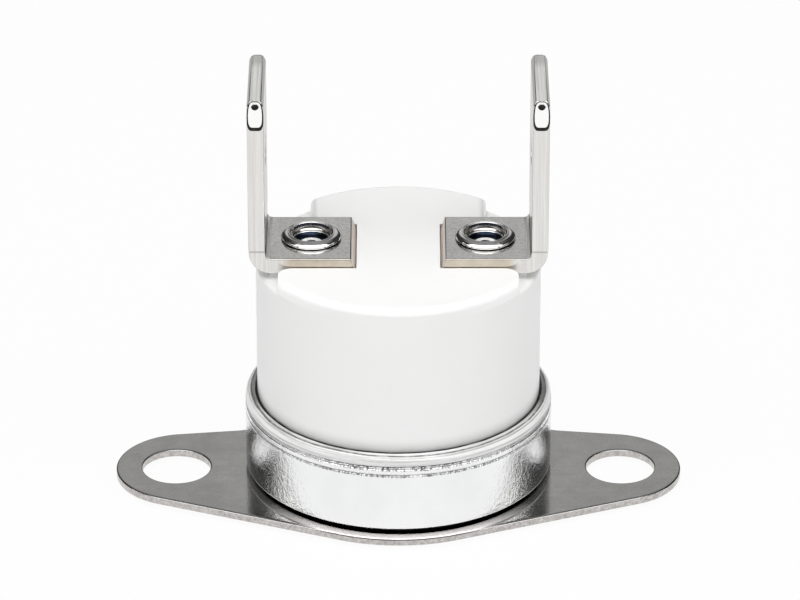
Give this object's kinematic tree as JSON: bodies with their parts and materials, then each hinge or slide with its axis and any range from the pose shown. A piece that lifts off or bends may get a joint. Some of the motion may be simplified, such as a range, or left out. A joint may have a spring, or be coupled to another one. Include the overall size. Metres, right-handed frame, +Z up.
{
  "type": "bimetal thermostat",
  "caption": "Round snap-disc bimetal thermostat with a glazed ceramic body in an aluminium cup, a loose two-hole flange and upright blade terminals.",
  "frame": {"origin": "middle of the sensing face, on the axis of the cup", "axes": "+Z up along the cup axis from the sensing face to the terminals, +X along the two flange holes, which lie 0.6 mm in front of the axis, -Y towards the viewer of the picture"},
  "size_m": [0.0304, 0.0172, 0.0235],
  "materials": {
    "cup_aluminium": "bright drawn",
    "flange_steel": "satin",
    "body_ceramic": "white glaze",
    "bimetal": "rolled",
    "guide_resin": "moulded",
    "pin_ceramic": "unglazed",
    "strip_brass": "rolled",
    "contact_silver": "satin",
    "terminal_nickel": "nickel plated",
    "rivet_nickel": "bright nickel"
  },
  "bodies": {
    "switch_body": {"sensing_cup": "cup_aluminium", "ceramic_body": "body_ceramic", "pin_guide": "guide_resin", "snap_disc": "bimetal", "arm_support": "strip_brass", "fixed_contact_strip": "strip_brass", "fixed_contact": "contact_silver", "left_terminal": "terminal_nickel", "right_terminal": "terminal_nickel", "left_rivet": "rivet_nickel", "right_rivet": "rivet_nickel"},
    "flange": {"mounting_flange": "flange_steel"},
    "pin": {"push_pin": "pin_ceramic"},
    "arm": {"contact_arm": "strip_brass", "moving_contact": "contact_silver"}
  },
  "joints": [
    {"name": "flange_turn", "type": "hinge", "parent": "switch_body", "child": "flange", "pos_m": [0, 0, 0.00051], "axis": [0, 0, 1], "continuous": true},
    {"name": "pin_lift", "type": "slide", "parent": "switch_body", "child": "pin", "axis": [0, 0, 1], "range_m": [0, 0.0004], "stiffness_N_per_m": 400, "deforming": ["snap_disc"]},
    {"name": "arm_flex", "type": "hinge", "parent": "switch_body", "child": "arm", "pos_m": [-0.00231, 0, 0.00736], "axis": [0, -1, 0], "range_deg": [0, 10.6]}
  ],
  "couplings": [
    {"joint": "arm_flex", "follows": "pin_lift", "rad_per_m": 460}
  ]
}
